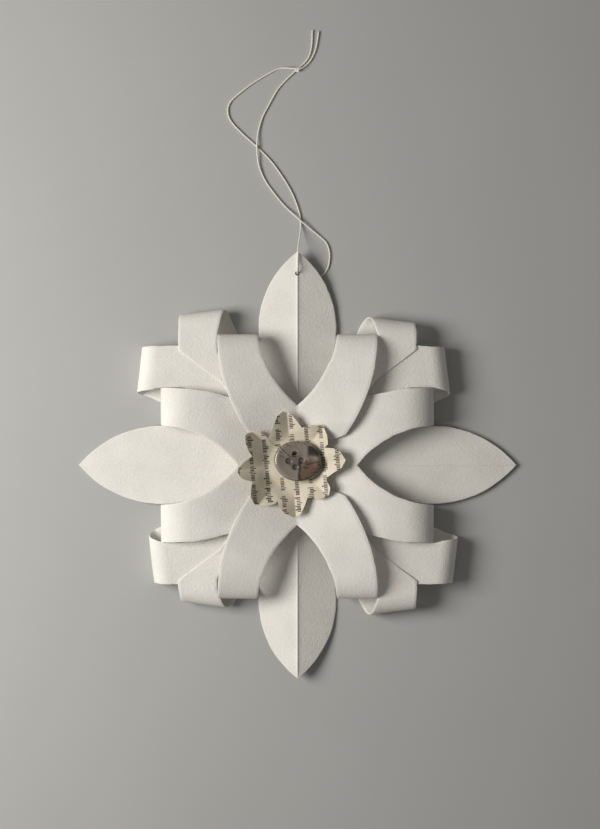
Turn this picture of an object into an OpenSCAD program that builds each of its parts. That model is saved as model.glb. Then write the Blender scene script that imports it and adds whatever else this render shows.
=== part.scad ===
// Paper snowflake star, lying face up: two crossing sheets of heavy paper, cut in nested curves.
// The tip of each end is rolled back under the centre, so that its strips stand up as loops
// and its leaf points outwards. A paper flower and a button are glued on the middle.
// Directions: +Y is north, where the hanging thread is, and +X is east. +Z is up, z = 0 is the table.

/* [Paper] */
// Thickness of the heavy white paper
paper_t = 0.34; // [0.2:0.02:0.5]
// Thickness of the printed page that the flower is cut from
page_t = 0.16; // [0.1:0.02:0.3]
// Thickness of the glue behind the middle
glue_t = 0.12; // [0.05:0.01:0.3]
// Thickness of the glue between the two sheets
sheet_glue_t = 0.4; // [0.35:0.01:0.6]

/* [Leaves] */
// Reach of the north and south leaves from the centre
leaf_reach_ns = 66.8; // [60:0.1:84]
// Reach of the east and west leaves from the centre
leaf_reach_ew = 68.6; // [60:0.1:84]
// Half the width of a leaf where it is widest
leaf_half_w = 12.2; // [9:0.1:14.6]
// Distance from the centre at which a leaf is widest
leaf_widest = 42.5; // [38:0.1:46]
// Half the width of a leaf's neck, where it joins the rolled tip
neck_half_w = 2.5; // [1.5:0.1:3]
// Fall of the north and south leaves from ridge to edge, for each millimetre sideways
ridge_fall = 0.24; // [0:0.01:0.3]
// Fall of the east and west leaves from root to tip
leaf_droop = 3; // [0:0.1:3.5]
// Radius of the hole for the hanging thread
hole_r = 0.75; // [0.5:0.05:1]
// Distance of that hole from the north leaf's point
hole_inset = 6.8; // [5:0.1:9]

/* [Inner strips] */
// Reach of the inner loops at the north, west, south and east ends
inner_reach = [40.7, 42.5, 41.5, 42.4]; // [34:0.1:51]
// Distance from the centre at which the gap between the inner strips starts
window_base = 18.7; // [17.8:0.1:20]
// Half the width across the inner strips of the north-south sheet
inner_half_ns = 24.9; // [22:0.1:25.2]
// Half the width across the inner strips of the east-west sheet
inner_half_ew = 24.1; // [22:0.1:25.2]
// Height of the inner loops of the north-south sheet, at their inner edge
inner_top_ns = 12; // [10.5:0.1:15]
// Height of the inner loops of the east-west sheet, at their inner edge
inner_top_ew = 11.2; // [10.5:0.1:13.5]

/* [Outer strips] */
// Half the width across the outer strips
outer_half = 37.2; // [31:0.1:44.7]
// How far the north end's outer loops reach past its inner ones, right and left of its leaf as it points
outer_past_north = [4.4, 6.9]; // [1.5:0.1:9]
// How far the west end's outer loops reach past its inner ones, right and left of its leaf
outer_past_west = [6.6, 2.9]; // [1.5:0.1:9]
// How far the south end's outer loops reach past its inner ones, right and left of its leaf
outer_past_south = [1.9, 4.1]; // [1.5:0.1:9]
// How far the east end's outer loops reach past its inner ones, right and left of its leaf
outer_past_east = [6.7, 4.2]; // [1.5:0.1:9]
// Height of the outer loops
outer_top = 8.5; // [7.5:0.1:10]

/* [Flower and button] */
// Reach of a petal from the flower's centre
petal_reach = 16.9; // [14:0.1:20.3]
// Distance of the cuts between petals from the flower's centre
petal_notch = 11.7; // [9:0.1:13.5]
// Rise of a petal towards its tip, for each millimetre outwards
petal_slope = 0.495; // [0.42:0.005:0.6]
// Long diameter of the button
button_long = 14.9; // [11:0.1:18]
// Short diameter of the button
button_short = 12.7; // [10:0.1:16]
// Thickness of the button at its rim
button_t = 2.3; // [1.6:0.1:3.5]
// Radius of the button's four holes
button_hole_r = 0.75; // [0.5:0.05:1]

/* [Thread] */
// Diameter of the hanging thread
thread_d = 0.6; // [0.4:0.05:0.8]

/* [Hidden] */
ENDS = ["north", "west", "south", "east"];
SIDES = ["right", "left"];

// Colours
WHITE = [0.93, 0.92, 0.89];
PAGE = [0.88, 0.83, 0.72];
GLUE = [0.95, 0.94, 0.85];
HORN = [0.42, 0.37, 0.34];
THREAD = [0.90, 0.88, 0.82];

// Stations along a strip and across it
ROLL_STEP = 22.5;
ACROSS = 3;

// Heights of the middle surfaces of the paper, stacked at the centre
tip_z = 4.1;
east_west_z = tip_z + paper_t + glue_t;
north_south_z = east_west_z + paper_t + sheet_glue_t;
flower_z = north_south_z + 1;
inner_bottom = 1.15;
outer_bottom = paper_t / 2;
flat_reach = 7;

// The two sheets: 0 is the north-south sheet, on top, and 1 is the east-west sheet, under it
middle_z = [north_south_z, east_west_z];
inner_half = [inner_half_ns, inner_half_ew];
inner_top = [inner_top_ns, inner_top_ew];
inner_edge_r = [55, 70];
bank_middle = [0.25, 0.06];
bank_loop = [0.09, 0.04];
leaf_reach = [leaf_reach_ns, leaf_reach_ew];
outer_past = [outer_past_north, outer_past_west, outer_past_south, outer_past_east];
outer_root_drop = [1.1, 0.69];
outer_root_bank = [0.17, 0];
outer_root_near = 14;
outer_root_blend = [[21, 28], [16, 30]];
sheet_gap = 0.6;
strip_gap = 0.7;
corner_room = 3.5;
outer_loop_z = [outer_top - paper_t / 2, outer_top - paper_t / 2 - 0.5];
inner_edge_widest = 41;
web_reach = 17.5;
waist_half = 6.5;
waist_reach = 6;
web_join = 10;
tip_reach = 9;
tip_start = 1;
outer_root = 16;
cut_gap = 0.35;
root_gap = 0.1;
outer_lean = 0.12;

function mix(a, b, t) = a + (b - a) * t;
function ease(t) = let (x = max(0, min(1, t))) x * x * (3 - 2 * x);
function clamp(t) = max(0, min(1, t));
function unit(v) = v / norm(v);
function steps(a, b, n) = [for (i = [0:n]) a + (b - a) * i / n];
// Half width of a lens-shaped outline at u, through zero at "from" and widest at "widest"
function lens(u, from, widest, half) =
    let (l = widest - from, r = (l * l + half * half) / (2 * half), d = min(abs(u - widest), abs(l)))
    half - r + sqrt(r * r - d * d);
function arc_edge(u, half, r) =
    half - r + sqrt(r * r - (min(u, inner_edge_widest) - inner_edge_widest) ^ 2);

// Rise of the paper from the middle towards its loops, and sideways from the fold
function sideways(u, v) =
    let (flat = 1 - ease((abs(u) - 5) / 9), w = max(0, v - 3.5 * flat), c = 3 * flat)
    sqrt(w * w + c * c) - c;
function loop_top(s, v) = inner_top[s] - paper_t / 2 + bank_loop[s] * (v - leaf_half_w);
function loop_r(s, v) = (loop_top(s, v) - inner_bottom) / 2;
function front_z(s, reach, u, v) =
    let (t = clamp((abs(u) - flat_reach) / (reach - loop_r(s, v) - flat_reach)),
         start = inner_top[s] - paper_t / 2 - bank_loop[s] * leaf_half_w - middle_z[s])
    middle_z[s] + start * sin(90 * t) + mix(bank_middle[s], bank_loop[s], ease(t)) * sideways(u, v);
function back_z(e, u, bottom) =
    let (start = inner_reach[e] - loop_r(e % 2, leaf_half_w), x = clamp((start - u) / (start - tip_reach)))
    mix(bottom, tip_z, x * x * (3 - x) / 2);

function leaf_half(s, u) =
    u < leaf_widest
        ? neck_half_w + (leaf_half_w - neck_half_w) * sin(90 * (u - tip_reach) / (leaf_widest - tip_reach))
        : max(0.25, lens(u, leaf_reach[s], leaf_widest, leaf_half_w));
function window_half(u) = u <= window_base ? 0.08 : max(0.08, lens(u, window_base, leaf_widest, leaf_half_w));
function inner_edge(s, u) = arc_edge(u, inner_half[s], inner_edge_r[s]);
function inner_back_edge(s, u) =
    lookup(u, [[tip_reach, 5.3], [28, 15.8], [35, inner_half[s] - 1], [60, inner_half[s] - 1]]);
function outer_front_near(e, u) =
    let (half = inner_half[e % 2] + strip_gap, end = inner_reach[e] + 0.4)
    lookup(u, [[outer_root, 12], [26, 18], [min(31, end - 10), half - 3.1], [min(35, end - 6), half],
               [end, half], [end + 3, half - 1.2], [end + 18, half - 2.2]]);
function outer_front_far(e, u) =
    e % 2 == 0
        ? lookup(u, [[outer_root, 17], [26, 24], [outer_half - 1.2, outer_half], [70, outer_half - 0.4]])
        : lookup(u, [[outer_root, 21.5], [outer_half - 0.8, outer_half], [70, outer_half - 0.6]]);
function outer_back_near(u) =
    lookup(u, [[tip_reach, 5.7], [28, 16.2], [40, 18.6], [46, 21.6], [60, 23]]);
function outer_back_far(u) =
    lookup(u, [[tip_reach, 8.3], [20, 17.6], [30, 26.4], [outer_half + 4.8, outer_half - 0.7],
               [70, outer_half - 0.2]]);

// Middle surface of an inner strip: up the front, round the loop and back to the rolled tip
function inner_rows(e) = let (s = e % 2, reach = inner_reach[e]) concat(
    [for (u = steps(web_reach, reach - loop_r(s, leaf_half_w) - 0.4, 6))
        [for (j = [0:ACROSS])
            let (v = mix(window_half(u), inner_edge(s, u), j / ACROSS))
            [u, v, front_z(s, reach, u, v)]]],
    [for (a = [90:-ROLL_STEP:-90])
        [for (j = [0:ACROSS])
            let (near = mix(window_half(reach - 5), leaf_half_w + cut_gap, clamp((90 - a) / 90)),
                 far = mix(inner_half[s] - 0.1, inner_half[s] - 0.9, clamp(-a / 90)),
                 v = mix(near, far, j / ACROSS),
                 r = loop_r(s, v))
            [reach - r + r * cos(a), v, inner_bottom + r + r * sin(a)]]],
    [for (x = steps(0.12, 1, 5))
        [for (j = [0:ACROSS])
            let (u = mix(reach - loop_r(s, 18), tip_reach, x),
                 v = mix(leaf_half(s, u) + cut_gap, inner_back_edge(s, u), j / ACROSS))
            [u, v, back_z(e, u, inner_bottom)]]]);

// Middle surface of an outer strip, which leans out towards its leaf
function lean(v) = outer_lean * (30.5 - v);
// Height of an outer strip's root: under its own sheet, and over the other sheet where they cross
function outer_root_z(e, u, v) =
    let (s = e % 2,
         own = front_z(s, inner_reach[e], outer_root, outer_root_near) - outer_root_drop[s]
             + outer_root_bank[s] * (v - outer_root_near))
    s == 0 ? max(own, front_z(1, inner_reach[3], v, u) + sheet_gap) : own;
function outer_rows(e, past) =
    let (s = e % 2, r = (outer_loop_z[s] - outer_bottom) / 2,
         start = max(inner_reach[e], outer_half + corner_room) + past - r)
    concat(
    [for (u = concat([outer_root, 21, 23.5, 26, 28.5, 32, 36], steps(39, start, 1)))
        [for (j = [0:ACROSS])
            let (v = mix(outer_front_near(e, u), outer_front_far(e, u), j / ACROSS),
                 blend = outer_root_blend[s])
            [u + lean(v) * ease((u - 36) / (start - 36)), v,
             mix(outer_root_z(e, u, v), outer_loop_z[s], ease((u - blend[0]) / (blend[1] - blend[0])))]]],
    [for (a = [90 - ROLL_STEP:-ROLL_STEP:-90])
        [for (j = [0:ACROSS])
            let (t = (90 - a) / 180,
                 near = mix(outer_front_near(e, start), outer_back_near(start), t),
                 far = mix(outer_front_far(e, start), outer_back_far(start), t),
                 v = mix(near, far, j / ACROSS))
            [start + lean(v) + r * cos(a), v, outer_bottom + r + r * sin(a)]]],
    [for (x = concat([0.1], steps(0.22, 1, 6)))
        [for (j = [0:ACROSS])
            let (u = mix(start, tip_reach, x),
                 v = mix(outer_back_near(u), outer_back_far(u), j / ACROSS))
            [u + lean(v) * clamp(1 - 3 * x), v, back_z(e, u, outer_bottom)]]]);

// Middle surface of a leaf, from its neck at the rolled tip to its point
function leaf_z(s, u, v) =
    s == 0 ? tip_z - ridge_fall * abs(v) * ease((u - tip_reach) / 16)
           : tip_z - leaf_droop * (u - tip_reach) / (leaf_reach[s] - tip_reach) - 0.03 * abs(v);
function leaf_rows(s) =
    [for (u = concat(steps(tip_reach + root_gap, leaf_widest, 8), steps(leaf_widest + 3, leaf_reach[s], 9)))
        [for (j = [-2:2])
            let (v = leaf_half(s, u) * j / 2)
            [u, v, leaf_z(s, u, v)]]];

// Middle surface of the uncut middle of a sheet, along its own fold
function middle_half(s, u) =
    abs(u) < waist_reach ? waist_half
    : abs(u) < web_join
        ? mix(waist_half, inner_edge(s, web_join), (abs(u) - waist_reach) / (web_join - waist_reach))
    : inner_edge(s, abs(u));
function middle_rows(s, ahead, behind) =
    [for (u = [-web_reach, -14, -web_join, -8, -6, -3, 0, 3, 6, 8, web_join, 14, web_reach])
        [for (j = [-4:4])
            let (v = middle_half(s, u) * j / 4)
            [u, v, front_z(s, u > 0 ? ahead : behind, u, abs(v))]]];

// A sheet of even thickness on a grid of points, closed all round
function grid_normal(g, i, j) =
    let (n = len(g) - 1, m = len(g[0]) - 1)
    unit(cross(g[min(i + 1, n)][j] - g[max(i - 1, 0)][j], g[i][min(j + 1, m)] - g[i][max(j - 1, 0)]));
function tiles(a, b, c, d) = [[a, b, c], [a, c, d]];
module sheet(g, t) {
    n = len(g);
    m = len(g[0]);
    k = n * m;
    normals = [for (i = [0:n - 1]) for (j = [0:m - 1]) grid_normal(g, i, j)];
    points = [for (i = [0:n - 1]) for (j = [0:m - 1]) g[i][j]];
    polyhedron(
        points = concat(
            [for (i = [0:k - 1]) points[i] + normals[i] * t / 2],
            [for (i = [0:k - 1]) points[i] - normals[i] * t / 2]),
        faces = concat(
            [for (i = [0:n - 2]) for (j = [0:m - 2]) let (a = i * m + j)
                each tiles(a, a + 1, a + m + 1, a + m)],
            [for (i = [0:n - 2]) for (j = [0:m - 2]) let (a = k + i * m + j)
                each tiles(a, a + m, a + m + 1, a + 1)],
            [for (i = [0:n - 2]) let (a = i * m) each tiles(a, a + m, a + m + k, a + k)],
            [for (i = [0:n - 2]) let (a = i * m + m - 1) each tiles(a + m, a, a + k, a + m + k)],
            [for (j = [0:m - 2]) each tiles(j + 1, j, j + k, j + 1 + k)],
            [for (j = [0:m - 2]) let (a = (n - 1) * m + j) each tiles(a, a + 1, a + 1 + k, a + k)]));
}

// Turns a part drawn along +X to the end it belongs to; the right side is mirrored
module at_end(e, side = "left") {
    rotate([0, 0, 90 + 90 * search([e], ENDS)[0]])
        mirror([0, side == "right" ? 1 : 0, 0])
            children();
}
function sheet_of(e) = search([e], ENDS)[0] % 2;

module inner_strip(e, side) {
    color(WHITE) at_end(e, side) sheet(inner_rows(search([e], ENDS)[0]), paper_t);
}

module outer_strip(e, side) {
    n = search([e], ENDS)[0];
    color(WHITE) at_end(e, side) sheet(outer_rows(n, outer_past[n][side == "right" ? 0 : 1]), paper_t);
}

module leaf(e) {
    color(WHITE) at_end(e) difference() {
        sheet(leaf_rows(sheet_of(e)), paper_t);
        if (e == "north")
            translate([leaf_reach_ns - hole_inset, 0, tip_z - 3]) cylinder(h = 6, r = hole_r, $fn = 32);
    }
}

// The glued tip of one end, flat under the centre
module rolled_tip(e) {
    half = outer_back_far(tip_reach);
    near = tip_start - 0.3;
    color(WHITE) at_end(e) translate([0, 0, tip_z - paper_t / 2]) linear_extrude(paper_t)
        polygon([[tip_start, -near], [tip_reach, -half], [tip_reach, half], [tip_start, near]]);
}

module north_south_middle() {
    color(WHITE) rotate([0, 0, 90]) sheet(middle_rows(0, inner_reach[0], inner_reach[2]), paper_t);
}

module east_west_middle() {
    color(WHITE) sheet(middle_rows(1, inner_reach[3], inner_reach[1]), paper_t);
}

module glue(z, t, r) {
    color(GLUE) translate([0, 0, z]) cylinder(h = t, r = r, $fn = 48);
}

// The flower: eight petals, each creased along its middle and cupped
petal_turn = 5;
flower_at = [-1.8, 0.1];
flower_flat = 7.6;
petal_crease = 0.13;
function petal_edge(a) = mix(petal_notch, petal_reach, pow(abs(cos(4 * (a - petal_turn))), 1.1));
function flower_point(a, t) =
    let (r = t * petal_edge(a), off = abs(sin(4 * (a - petal_turn))))
    [flower_at[0] + r * cos(a), flower_at[1] + r * sin(a),
     flower_z + (petal_slope + petal_crease * off) * max(0, r - flower_flat)];
module page_flower() {
    flat = flower_flat / petal_reach;
    rings = concat([flat / 2], steps(flat, 1, 3));
    n = 72;
    m = len(rings);
    k = 1 + n * m;
    middle = [for (p = concat([[0, 0]], [for (t = rings) for (i = [0:n - 1]) [t, i * 360 / n]]))
        flower_point(p[1], p[0])];
    up = [0, 0, page_t / 2];
    color(PAGE) polyhedron(
        points = concat([for (p = middle) p + up], [for (p = middle) p - up]),
        faces = concat(
            [for (i = [0:n - 1]) let (a = 1 + i, b = 1 + (i + 1) % n) each [[0, b, a], [k, k + a, k + b]]],
            [for (h = [0:m - 2]) for (i = [0:n - 1])
                let (a = 1 + h * n + i, b = 1 + h * n + (i + 1) % n)
                each concat(tiles(a, b, b + n, a + n), tiles(k + a, k + a + n, k + b + n, k + b))],
            [for (i = [0:n - 1])
                let (a = 1 + (m - 1) * n + i, b = 1 + (m - 1) * n + (i + 1) % n)
                each tiles(a, b, k + b, k + a)]));
}

// The button: an oval disc with a raised rim and four holes
button_centre = [0.1, 1.3];
button_lift = petal_slope * max(0, button_long / 2 + norm(button_centre - flower_at) - flower_flat) + 0.2;
button_at = concat(button_centre, [flower_z + page_t / 2 + button_lift]);
button_turn = -8;
button_rim = 1.3;
button_dish = 0.5;
hole_ring = 2;
hole_ring_at = [-0.8, 0, 0];
module oval(long, short) {
    polygon([for (a = [0:7.5:352.5]) [long / 2 * cos(a), short / 2 * sin(a)]]);
}
module button() {
    color(HORN) translate(button_at) rotate([0, 0, button_turn]) difference() {
        linear_extrude(button_t) oval(button_long, button_short);
        translate([0, 0, button_t - button_dish]) linear_extrude(button_t)
            oval(button_long - 2 * button_rim, button_short - 2 * button_rim);
        for (a = [0:90:270])
            translate(hole_ring_at) rotate([0, 0, a + 10]) translate([hole_ring, 0, -1])
                cylinder(h = button_t + 2, r = button_hole_r, $fn = 32);
    }
}

// The hanging thread: two strands from the hole to the knot and on to a bare tail.
// Their points are measured from the north leaf's point.
thread_low = thread_d / 2 + 0.07;
thread_over = tip_z + paper_t / 2 + thread_d / 2 + 0.1;
front_route = [
    [0, -hole_inset, tip_z], [0, 0.2 - hole_inset, 4.8], [0, 0.9 - hole_inset, 5.4], [0.1, -4.8, 5.4],
    [0.1, -2.8, 4.9], [0.2, -0.8, thread_over], [0.2, 1.2, 4.1], [0.6, 3.9, 2.6], [1, 7.7, 0.8],
    [0.8, 11.5, thread_low], [-0.6, 16, thread_low],
    [-2.5, 20.1, thread_low], [-5.2, 24.4, thread_low], [-8.4, 28.7, thread_low], [-12.7, 33.1, thread_low],
    [-16.5, 36.5, thread_low], [-19.7, 39.7, thread_low], [-21.4, 42.1, thread_low],
    [-21.9, 44.8, thread_low], [-21.1, 47.1, thread_low], [-19.2, 49.1, thread_low],
    [-14.3, 52.9, thread_low], [-8.9, 56.2, thread_low], [-5.2, 57.8, thread_low], [-0.8, 57.6, 1.2],
    [0.8, 57.7, 1.2], [3.4, 60.6, thread_low], [5.6, 64.2, thread_low], [6.7, 69.4, thread_low]];
back_route = [
    [0, -hole_inset, tip_z], [0.1, -0.1 - hole_inset, 3.4], [0.8, -0.2 - hole_inset, 2.6],
    [2, -0.4 - hole_inset, 2.1], [4, -0.7 - hole_inset, 1.6], [6.2, -7.7, 0.9], [8, -7.1, thread_low],
    [9.4, -5.2, thread_low], [10, -3, thread_low], [10.1, -0.2, thread_low], [9.2, 2.7, thread_low],
    [7.2, 4.8, thread_low], [4, 7.4, 0.7], [0.4, 10.4, 1.1], [-3.6, 14.1, 0.5],
    [-7.3, 18.5, thread_low], [-10.3, 22.8, thread_low], [-12.2, 27.6, 0.6], [-12.7, 32.8, 1],
    [-12.4, 37.3, 0.6], [-11.1, 42.1, thread_low], [-8.9, 46.4, thread_low], [-6.3, 51, thread_low],
    [-3.9, 53.8, thread_low], [-0.7, 56.9, 0.55],
    [0.5, 58.1, 0.55], [2.2, 61.8, thread_low], [3.2, 65.2, thread_low], [4.6, 69.7, thread_low]];
knot_at = [0, 57.4, 1];
knot_r = 0.95;

// A smooth curve through the points of a route, with one more ring between each two
function curve_point(p, i, t) =
    let (n = len(p) - 1, a = p[max(i - 1, 0)], b = p[i], c = p[min(i + 1, n)], d = p[min(i + 2, n)])
    0.5 * (2 * b + (c - a) * t + (2 * a - 5 * b + 4 * c - d) * t * t + (3 * b - a - 3 * c + d) * t * t * t);
function curve(p) =
    concat([for (i = [0:len(p) - 2]) for (t = [0, 0.5]) curve_point(p, i, t)], [p[len(p) - 1]]);
module tube(p, r) {
    sides = 8;
    n = len(p);
    rings = [for (i = [0:n - 1])
        let (d = unit(p[min(i + 1, n - 1)] - p[max(i - 1, 0)]),
             across = unit(cross(d, [0, 0.05, 1])),
             up = cross(across, d))
        for (a = [0:360 / sides:359]) p[i] + r * (across * cos(a) + up * sin(a))];
    polyhedron(points = rings, faces = concat(
        [[for (j = [sides - 1:-1:0]) j]],
        [for (i = [0:n - 2]) for (j = [0:sides - 1])
            let (a = i * sides + j, b = i * sides + (j + 1) % sides)
            each tiles(a, b, b + sides, a + sides)],
        [[for (j = [0:sides - 1]) (n - 1) * sides + j]]));
}

module strand(route) {
    color(THREAD) translate([0, leaf_reach_ns, 0]) tube(curve(route), thread_d / 2);
}

module thread_knot() {
    color(THREAD) translate([0, leaf_reach_ns, 0]) translate(knot_at) sphere(r = knot_r, $fn = 24);
}

for (e = ENDS) {
    for (s = SIDES) {
        inner_strip(e, s);
        outer_strip(e, s);
    }
    leaf(e);
    rolled_tip(e);
}
north_south_middle();
east_west_middle();
glue(tip_z + paper_t / 2, glue_t, 6);  // glue_behind_middle
glue(east_west_z + paper_t / 2, sheet_glue_t, 3);  // glue_between_sheets
glue(north_south_z + paper_t / 2, flower_z - north_south_z - (paper_t + page_t) / 2, 2.5);  // glue_under_flower
page_flower();
glue(flower_z + page_t / 2, button_lift, 3.5);  // glue_under_button
button();
strand(front_route);  // thread_front
strand(back_route);  // thread_back
thread_knot();
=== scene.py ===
import math

import bmesh
import bpy
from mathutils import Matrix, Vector, noise


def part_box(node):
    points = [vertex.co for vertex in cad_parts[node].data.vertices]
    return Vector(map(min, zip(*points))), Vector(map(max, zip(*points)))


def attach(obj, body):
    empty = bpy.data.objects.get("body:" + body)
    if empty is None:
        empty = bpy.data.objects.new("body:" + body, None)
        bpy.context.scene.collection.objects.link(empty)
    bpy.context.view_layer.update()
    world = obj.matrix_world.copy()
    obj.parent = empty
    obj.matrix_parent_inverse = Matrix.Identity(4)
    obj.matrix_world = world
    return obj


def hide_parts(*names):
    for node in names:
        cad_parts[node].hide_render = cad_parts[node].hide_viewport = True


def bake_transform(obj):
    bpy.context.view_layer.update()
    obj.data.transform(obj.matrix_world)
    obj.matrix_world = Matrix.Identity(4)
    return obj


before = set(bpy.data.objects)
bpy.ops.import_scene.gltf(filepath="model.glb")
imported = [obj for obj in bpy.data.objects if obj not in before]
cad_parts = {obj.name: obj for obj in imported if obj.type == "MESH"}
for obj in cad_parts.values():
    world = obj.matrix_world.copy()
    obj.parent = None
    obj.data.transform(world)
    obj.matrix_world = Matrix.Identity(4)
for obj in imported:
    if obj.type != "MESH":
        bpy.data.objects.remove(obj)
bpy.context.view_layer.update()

# Paper snowflake star, lying face up. North is +Y, east is +X, and z = 0 is the table.
# Sizes are in millimetres up to the last step, where MM turns them into metres.
MM = 0.001
ENDS = ["north", "west", "south", "east"]
SIDES = ["right", "left"]
NORTH_SOUTH, EAST_WEST = 0, 1

# The paper
PAPER_T = 0.34
PAGE_T = 0.16
GLUE_T = 0.12
SHEET_GLUE_T = 0.4
CUT_WOBBLE = 0.2       # how far a hand-held cut strays from its line
STRAY_FADE = 4         # a cut's straying comes in over this length
FAR_SEED = 20          # sets a strip's far cut apart from its near one
PINCH = 0.45           # how thick a cut edge is, as a share of the sheet's thickness
PINCH_REACH = 0.16     # how far the pinch goes in from the edge
SHEET_WAVE = 0.18      # how far the paper is from a perfect curve
WAVE_LENGTH = 14
WAVE_FADE_IN = 0.2     # the part of a strip's length over which its waves come in
HIGHLIGHT_AND_WEAR_BESIDE_CUT = 0.7  # the painted highlight and wear on the row of points beside a cut, which is 1 at the cut itself

# Heights of the middle surfaces of the paper, stacked at the centre
TIP_Z = 4.1
EAST_WEST_Z = TIP_Z + PAPER_T + GLUE_T
NORTH_SOUTH_Z = EAST_WEST_Z + PAPER_T + SHEET_GLUE_T
FLOWER_LIFT = 1
FLOWER_Z = NORTH_SOUTH_Z + FLOWER_LIFT
MIDDLE_Z = [NORTH_SOUTH_Z, EAST_WEST_Z]
INNER_BOTTOM = 1.15
OUTER_BOTTOM = PAPER_T / 2
FLAT_REACH = 7

# The middle of a sheet lies flat out to FLAT_TO along it, and its banked sides come in over FLAT_FADE
FLAT_TO = 5
FLAT_FADE = 9
FLAT_HALF = 3.5
FLAT_ROUND = 3


def cad_reach(node, end):
    """How far a piece of the frame reaches from the centre towards its end of the star."""
    low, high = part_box(node)
    return {"north": high.y, "west": -low.x, "south": -low.y, "east": high.x}[end] / MM


# Leaves
LEAF_REACH = [cad_reach("north_leaf", "north"), cad_reach("east_leaf", "east")]
LEAF_HALF_W = 12.2
LEAF_WIDEST = 42.5
NECK_HALF_W = 2.5
RIDGE_FALL = {"north": 0.24, "south": 0.31}
LEAF_DROOP = 3
LEAF_POINT_HALF = 0.12
WINDOW_POINT_HALF = 0.05
HOLE_R = 0.75
HOLE_INSET = 6.8
HOLE_REACH = LEAF_REACH[NORTH_SOUTH] - HOLE_INSET

# Strips
INNER_REACH = {e: cad_reach(f"{e}_inner_strip_left", e) - PAPER_T / 2 for e in ENDS}
WINDOW_BASE = 18.7
INNER_HALF = [24.9, 24.1]
INNER_TOP = [12, 11.2]
INNER_EDGE_R = [55, 70]
INNER_EDGE_WIDEST = 41
INNER_MIDDLE = 18      # a line along an inner strip, halfway across it
BANK_MIDDLE = [0.29, 0.06]
BANK_LOOP = [0.11, 0.04]
OUTER_HALF = 37.2
OUTER_TOP = 8.5
OUTER_DROP = [0, 0.5]
OUTER_PAST = {"north": [4.4, 6.9], "west": [6.6, 2.9], "south": [1.9, 4.1], "east": [6.7, 4.2]}
OUTER_ROOT = 16
OUTER_ROOT_NEAR = 14
OUTER_ROOT_DROP = [1.1, 0.69]
OUTER_ROOT_BANK = [0.17, 0]
OUTER_ROOT_BLEND = [[21, 28], [16, 30]]
OUTER_LOOP_Z = [OUTER_TOP - PAPER_T / 2 - drop for drop in OUTER_DROP]
OUTER_LEAN = 0.12
OUTER_MIDDLE = 30.5
# How deep the loops are for their height, on top and underneath
INNER_LOOP_DEPTH = [1.7, 0.7]
OUTER_LOOP_DEPTH = [1.25, 0.7]
SHEET_GAP = 0.6
STRIP_GAP = 0.15
CORNER_ROOM = 3.5
CUT_GAP = 0.35
WEB_REACH = 18.6
WAIST_HALF = 6.5
WAIST_REACH = 6
WEB_JOIN = 10
TIP_REACH = 9
TIP_START = 1


def mix(a, b, t):
    return a + (b - a) * t


def clamp(t):
    return max(0.0, min(1.0, t))


def ease(t):
    x = clamp(t)
    return x * x * (3 - 2 * x)


def steps(a, b, n):
    return [a + (b - a) * i / n for i in range(n + 1)]


def lookup(u, table):
    """Straight lines between the points of a table."""
    if u <= table[0][0]:
        return table[0][1]
    for (a, va), (b, vb) in zip(table, table[1:]):
        if u <= b:
            return mix(va, vb, (u - a) / (b - a))
    return table[-1][1]


def smooth_lookup(u, table):
    """The same, with its corners rounded."""
    weights = [(k, math.exp(-k * k)) for k in (-1.4, -0.7, 0, 0.7, 1.4)]
    return sum(w * lookup(u + k, table) for k, w in weights) / sum(w for _, w in weights)


def wave(x, y, seed, size):
    """A slow random wave, from about -1 to 1, over a surface."""
    return noise.noise(Vector((x / size, y / size, seed * 7.31)))


# ---------------------------------------------------------------- the paper's curves

def lens(u, start, widest, half):
    """Half width of a lens-shaped outline at u, through zero at start."""
    length = widest - start
    r = (length * length + half * half) / (2 * half)
    d = min(abs(u - widest), abs(length))
    return half - r + math.sqrt(r * r - d * d)


def sideways(u, v):
    """The distance across a sheet that its bank rises over, rounded off where its middle lies flat."""
    flat = 1 - ease((abs(u) - FLAT_TO) / FLAT_FADE)
    w = max(0, v - FLAT_HALF * flat)
    c = FLAT_ROUND * flat
    return math.sqrt(w * w + c * c) - c


def loop_top(s, v):
    """The height of an inner loop at v."""
    return INNER_TOP[s] - PAPER_T / 2 + BANK_LOOP[s] * (v - LEAF_HALF_W)


def loop_r(s, v):
    return (loop_top(s, v) - INNER_BOTTOM) / 2


def loop_start(s, reach, v):
    """Where an inner strip's front starts to turn over."""
    return reach - INNER_LOOP_DEPTH[0] * loop_r(s, v)


def front_z(s, reach, u, v):
    """The height of a sheet's front, which rises from the centre to the inner loops."""
    t = clamp((abs(u) - FLAT_REACH) / (loop_start(s, reach, v) - FLAT_REACH))
    start = INNER_TOP[s] - PAPER_T / 2 - BANK_LOOP[s] * LEAF_HALF_W - MIDDLE_Z[s]
    bank = mix(BANK_MIDDLE[s], BANK_LOOP[s], ease(t))
    return MIDDLE_Z[s] + start * math.sin(math.pi / 2 * t) + bank * sideways(u, v)


def back_z(e, u, bottom):
    """The height of a strip's back, which rises to the glued tips."""
    start = INNER_REACH[e] - loop_r(sheet_of(e), LEAF_HALF_W)
    x = clamp((start - u) / (start - TIP_REACH))
    return mix(bottom, TIP_Z, x * x * (3 - x) / 2)


def sheet_of(e):
    return ENDS.index(e) % 2


def leaf_half(s, u):
    if u < LEAF_WIDEST:
        turn = math.pi / 2 * (u - TIP_REACH) / (LEAF_WIDEST - TIP_REACH)
        return NECK_HALF_W + (LEAF_HALF_W - NECK_HALF_W) * math.sin(turn)
    return max(LEAF_POINT_HALF, lens(u, LEAF_REACH[s], LEAF_WIDEST, LEAF_HALF_W))


def window_half(u):
    """Half width at u of the window that a leaf was cut from."""
    if u <= WINDOW_BASE:
        return WINDOW_POINT_HALF
    return max(WINDOW_POINT_HALF, lens(u, WINDOW_BASE, LEAF_WIDEST, LEAF_HALF_W))


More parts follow.
